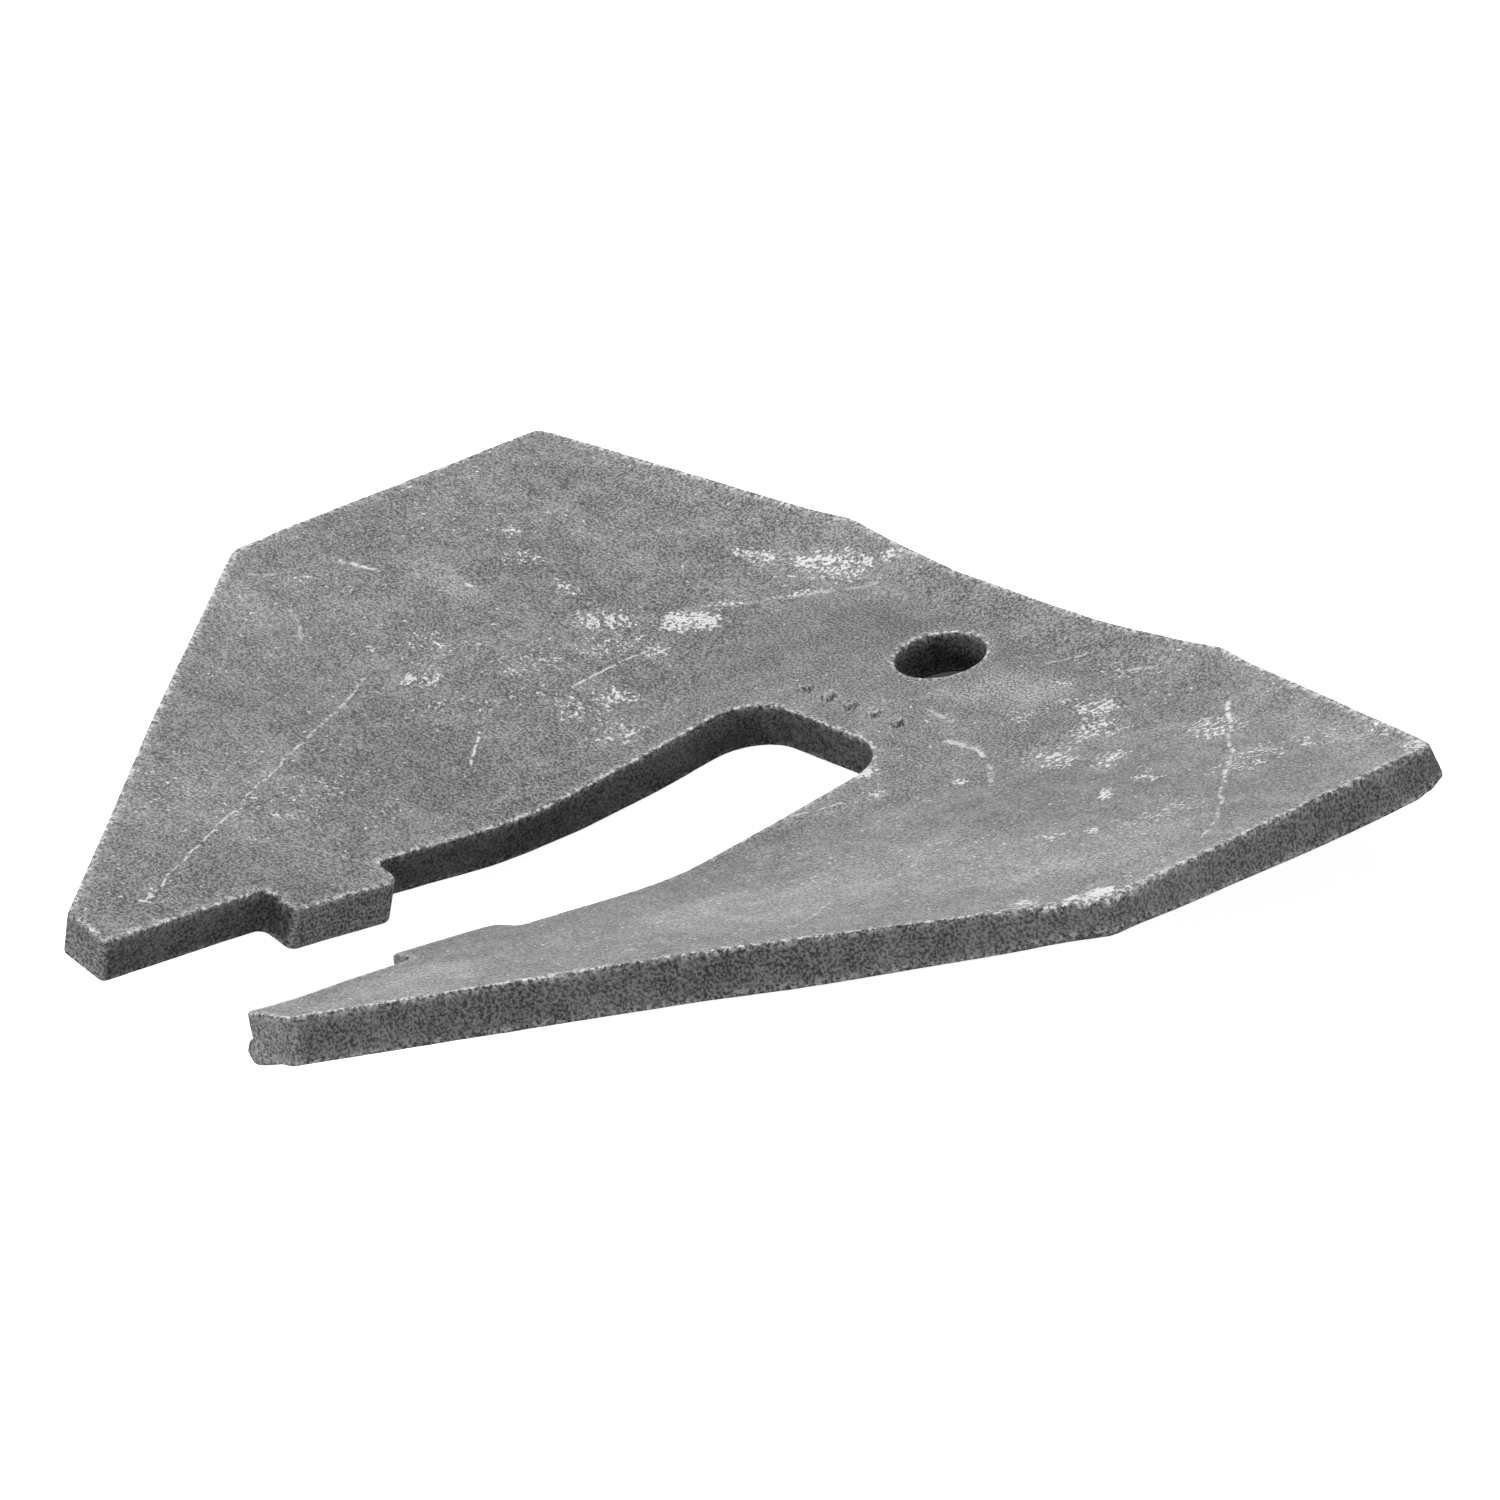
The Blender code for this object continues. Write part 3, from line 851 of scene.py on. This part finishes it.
# painted highlights on the top, and painted shade where the strength is negative: centre, half length, half
# width, turn in degrees, strength
paintedLightOvals = [
    ((-0.0753, -0.0375), 0.0083, 0.0030, 7, 0.60),
    ((-0.0874, -0.0683), 0.0096, 0.0043, -14, 0.35),
    ((0.0829, -0.0508), 0.0097, 0.0059, 50, 0.40),
    ((0.0854, -0.0416), 0.0115, 0.0043, 83, 0.40),
    ((0.0478, -0.0774), 0.0156, 0.0111, 51, 0.42),
    ((0.0300, -0.1243), 0.0084, 0.0073, 47, 0.60),
    ((0.0180, -0.0021), 0.0096, 0.0049, 31, 0.80),
    ((0.0885, 0.0011), 0.0172, 0.0043, -17, 0.30),
    ((-0.0237, 0.0067), 0.0119, 0.0033, 9, 0.20),
    ((0.0560, -0.0250), 0.0170, 0.0150, 50, -0.34),
]


def buildScratchMark():
    # 1 along a line from one place to another, fading to its sides, with gaps where breaks is 0
    tree, given, out = newTree("scratchMark", "ShaderNodeTree", {
        "vector": "Vector", "from": "Vector", "to": "Vector", "halfWidth": "Float", "breaks": "Float",
        "strength": "Float"}, {"mask": "Float"})
    run = vectorCalc(tree, "SUBTRACT", given["to"], given["from"])
    here = vectorCalc(tree, "SUBTRACT", given["vector"], given["from"])
    share = calc(tree, "DIVIDE", vectorCalc(tree, "DOT_PRODUCT", here, run),
                 vectorCalc(tree, "DOT_PRODUCT", run, run), clamp=True)
    away = vectorCalc(tree, "DISTANCE", here, scaled(tree, run, share))
    mask = remap(tree, calc(tree, "DIVIDE", away, given["halfWidth"]), 0.35, 1.3, 1.0, 0.0)
    kept = calc(tree, "MULTIPLY", mask, given["breaks"])
    setSocket(tree, out["mask"], calc(tree, "MULTIPLY", kept, given["strength"]))
    return tree


def buildSandGrain():
    # fine grain left by the sand: a height for the bump, and a light and dark speckle
    tree, given, out = newTree("sandGrain", "ShaderNodeTree", {"vector": "Vector", "size": "Float"},
                               {"height": "Float", "speckle": "Float"})

    def noise(times, rough):
        return noiseAt(tree, given["vector"], calc(tree, "DIVIDE", times, given["size"]), 2.0, rough)[0]

    fine = noise(1.0, 0.65)
    coarse = noise(iron["coarseTimes"], 0.55)
    height = calc(tree, "MULTIPLY_ADD", coarse, iron["coarseShare"], fine)
    setSocket(tree, out["height"], calc(tree, "MULTIPLY", height, iron["grainRise"]))
    setSocket(tree, out["speckle"], remap(tree, fine, *iron["speckleRange"], shape="LINEAR"))
    return tree


def castIron():
    material = bpy.data.materials.new("sandCastIron")
    material.use_nodes = True
    tree = material.node_tree
    shader = tree.nodes["Principled BSDF"]
    place = addNode(tree, "ShaderNodeTexCoord").outputs["Object"]
    grain = groupNode(tree, buildSandGrain(), vector=place, size=iron["grainSize"])

    def noise(size, detail, rough=0.5):
        return noiseAt(tree, place, 1 / iron[size], detail, rough)[0]

    def painted(label):
        return addNode(tree, "ShaderNodeAttribute", attribute_name=label).outputs["Fac"]

    # marks are laid out in plan from the hole, and bent a little so that no line is straight
    flat = vectorCalc(tree, "MULTIPLY_ADD", place, (1, 1, 0), (0, -holeY, 0))
    wander = noiseAt(tree, place, 1 / iron["bendSize"], 3.0)["Color"]
    bendBy = iron["bendBy"]
    bend = vectorCalc(tree, "MULTIPLY_ADD", wander, (2 * bendBy, 2 * bendBy, 0), (-bendBy, -bendBy, 0))
    plan = vectorCalc(tree, "ADD", flat, bend)
    normal = addNode(tree, "ShaderNodeNewGeometry").outputs["Normal"]
    up = addNode(tree, "ShaderNodeSeparateXYZ", {0: normal}).outputs["Z"]
    onTop = remap(tree, up, *iron["topRange"])

    breaks = remap(tree, noise("breakSize", 2.0), *iron["breakRange"])
    scratchMark = buildScratchMark()
    scratched = None
    for start, end, halfWidth, strength in scratches:
        mask = groupNode(tree, scratchMark, **{
            "vector": plan, "from": (*start, 0), "to": (*end, 0), "halfWidth": halfWidth,
            "breaks": breaks, "strength": strength})["mask"]
        scratched = mask if scratched is None else calc(tree, "MAXIMUM", scratched, mask)

    # powder gathers in clumps where the scuffs are, and a little of it is strewn elsewhere
    cloud = remap(tree, noise("cloudSize", 4.0, 0.6), *iron["cloudRange"], shape="LINEAR")
    scuffed = painted("scuff")
    clump = calc(tree, "MULTIPLY_ADD", noise("clumpSize", 3.0, 0.65), iron["clumpWeight"], iron["clumpShift"])
    clumped = remap(tree, scuffed, 0.0, iron["clumpFrom"])
    scuffed = calc(tree, "MULTIPLY_ADD", clumped, clump, scuffed)
    powder = calc(tree, "MULTIPLY_ADD", scuffed, iron["powderWeight"], noise("powderSize", 2.0, 0.70))
    powder = remap(tree, powder, *iron["powderRange"])
    stray = calc(tree, "MULTIPLY_ADD", cloud, iron["strayCloud"], noise("straySize", 2.0, 0.6))
    stray = remap(tree, stray, *iron["strayRange"])
    marks = calc(tree, "MAXIMUM", calc(tree, "MAXIMUM", scratched, powder), stray)
    marks = calc(tree, "MULTIPLY", marks, onTop)
    worn = remap(tree, noise("wornSize", 3.0, 0.7), *iron["wornRange"])
    worn = calc(tree, "MULTIPLY", calc(tree, "MULTIPLY", painted("arris"), worn), iron["wornWeight"])
    marks = calc(tree, "MAXIMUM", marks, worn, clamp=True)

    # tone: grain, mottling and clouds, with painted light on some walls, and painted highlights and painted
    # shade on the top
    mottle = remap(tree, noise("mottleSize", 4.0, 0.65), *iron["mottleRange"])
    mottle = calc(tree, "MULTIPLY_ADD", mottle, iron["mottleWeight"], iron["toneShift"])
    clouded = calc(tree, "MULTIPLY_ADD", cloud, iron["cloudWeight"], mottle)
    tone = calc(tree, "MULTIPLY_ADD", grain["speckle"], iron["grainWeight"], clouded)
    tone = remap(tree, tone, 0.0, 1.0, iron["dark"], iron["light"], "LINEAR")
    # painted light: some walls are painted lighter
    paintedWallLight = calc(tree, "MULTIPLY", painted("paintedWallLight"), calc(tree, "SUBTRACT", 1.0, onTop))
    # painted highlights and painted shade on the top
    paintedTopLight = calc(tree, "MULTIPLY", painted("paintedTopLight"), onTop)
    lift = calc(tree, "MULTIPLY_ADD", paintedWallLight, iron["paintedWallLightLift"], 1.0)
    lift = calc(tree, "MULTIPLY_ADD", paintedTopLight, iron["paintedTopLightLift"], lift)
    tone = calc(tree, "MULTIPLY", tone, lift)
    mixed = addNode(tree, "ShaderNodeMix", {0: marks, 2: tone, 3: iron["bright"]}, data_type="FLOAT")
    setSocket(tree, shader.inputs["Base Color"], grey(tree, mixed.outputs[0]))

    rough = calc(tree, "MULTIPLY_ADD", paintedTopLight, -iron["paintedTopLightSmooth"], iron["roughness"])
    rough = calc(tree, "MULTIPLY_ADD", grain["speckle"], iron["grainRough"], rough)
    rough = calc(tree, "MULTIPLY_ADD", marks, -iron["markSmooth"], rough)
    setSocket(tree, shader.inputs["Roughness"], rough)
    shader.inputs["Metallic"].default_value = iron["metallic"]

    bump = addNode(tree, "ShaderNodeBump", {
        "Strength": 1.0, "Distance": iron["grainDepth"], "Height": grain["height"]})
    setSocket(tree, shader.inputs["Normal"], bump.outputs[0])
    return material


# camera, floor and light
studio = {
    "lens": 146.4,
    "sensor": 36.0,
    "cameraFromHole": (0.65817, -0.51716, 0.43338),
    "cameraRight": (0.64991, 0.74050, -0.17111),
    "cameraUp": (-0.25796, 0.42670, 0.86682),
    "floorHalf": 6.0,
    "floorTone": 0.80,
    "floorGlow": 0.93,                # keeps the shadow on the floor pale
    "floorTurnedBack": 0.16,          # tone of the floor in the light that it throws back on the plate
    "floorRoughness": 0.9,
    "holeShadowTone": 0.055,               # painted shadow: share of the floor's tone and glow left under the bolt hole
    "holeShadowRim": (0.011, 0.013),   # radii between which that painted shadow fades out
    "worldTone": 0.02,
}
lights = [
    # name, place, width, height, watts; each looks at the plate's middle
    ("overhead", (-0.10, 0.30, 1.20), 1.0, 1.0, 16.0),
    ("backStrip", (-1.50, 1.10, 0.05), 1.5, 0.30, 8.8),
    ("backLeft", (-1.20, 0.30, 1.10), 0.8, 0.8, 6.8),
    ("frontLeft", (-0.30, -1.20, 0.30), 0.6, 0.4, 5.2),
    ("frontRight", (1.00, -0.90, 0.12), 0.8, 0.24, 1.6),
    ("rightSide", (1.25, 0.45, 0.14), 0.8, 0.24, 4.6),
]


def makeCamera():
    data = bpy.data.cameras.new("camera")
    data.lens = studio["lens"]
    data.sensor_width = studio["sensor"]
    data.clip_start = 0.01
    data.clip_end = 50.0
    camera = bpy.data.objects.new("camera", data)
    bpy.context.scene.collection.objects.link(camera)
    right = Vector(studio["cameraRight"]).normalized()
    up = Vector(studio["cameraUp"])
    up = (up - right * up.dot(right)).normalized()
    turn = Matrix((right, up, right.cross(up))).transposed().to_4x4()
    place = Vector(studio["cameraFromHole"]) + Vector((0, holeY, seatZ))
    camera.matrix_world = Matrix.Translation(place) @ turn
    bpy.context.scene.camera = camera


def makeFloor():
    half = studio["floorHalf"]
    mesh = bpy.data.meshes.new("floor")
    corners = [(-half, -half), (half, -half), (half, half), (-half, half)]
    mesh.from_pydata([(x, y, cadLow.z) for x, y in corners], [], [(0, 1, 2, 3)])
    floor = bpy.data.objects.new("floor", mesh)
    bpy.context.scene.collection.objects.link(floor)
    material = bpy.data.materials.new("floor")
    material.use_nodes = True
    tree = material.node_tree
    shader = tree.nodes["Principled BSDF"]
    seen = addNode(tree, "ShaderNodeLightPath").outputs["Is Camera Ray"]
    tone = remap(tree, seen, 0.0, 1.0, studio["floorTurnedBack"], studio["floorTone"], "LINEAR")
    # painted shadow: the small patch of floor that shows through the bolt hole is painted dark, as the
    # plate's own shade
    place = addNode(tree, "ShaderNodeTexCoord").outputs["Object"]
    away = vectorCalc(tree, "DISTANCE", place, (0, holeY, cadLow.z))
    holeShadowShare = remap(tree, away, *studio["holeShadowRim"], studio["holeShadowTone"], 1.0)
    tone = calc(tree, "MULTIPLY", tone, holeShadowShare)
    glow = calc(tree, "MULTIPLY", calc(tree, "MULTIPLY", seen, studio["floorGlow"]), holeShadowShare)
    for socket, value in (("Base Color", tone), ("Emission Color", glow)):
        setSocket(tree, shader.inputs[socket], grey(tree, value))
    shader.inputs["Roughness"].default_value = studio["floorRoughness"]
    shader.inputs["Specular IOR Level"].default_value = 0.0
    shader.inputs["Emission Strength"].default_value = 1.0
    mesh.materials.append(material)


def makeLights():
    middle = (cadLow + cadHigh) / 2
    for name, place, width, height, watts in lights:
        data = bpy.data.lights.new(name, "AREA")
        data.shape = "RECTANGLE"
        data.size = width
        data.size_y = height
        data.energy = watts
        light = bpy.data.objects.new(name, data)
        bpy.context.scene.collection.objects.link(light)
        away = Vector(place) - middle
        light.matrix_world = Matrix.Translation(place) @ away.to_track_quat("Z", "Y").to_matrix().to_4x4()
    world = bpy.data.worlds.new("studio")
    world.use_nodes = True
    tone = studio["worldTone"]
    world.node_tree.nodes["Background"].inputs["Color"].default_value = (tone, tone, tone, 1)
    bpy.context.scene.world = world
    bpy.context.scene.view_settings.view_transform = "Standard"


makeCamera()
makeFloor()
makeLights()
print("studio ready")

wingPlate = makeWingPlate(castIron())
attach(wingPlate, "root")
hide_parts("wing_plate")
print("wing plate made:", len(wingPlate.data.polygons), "faces")
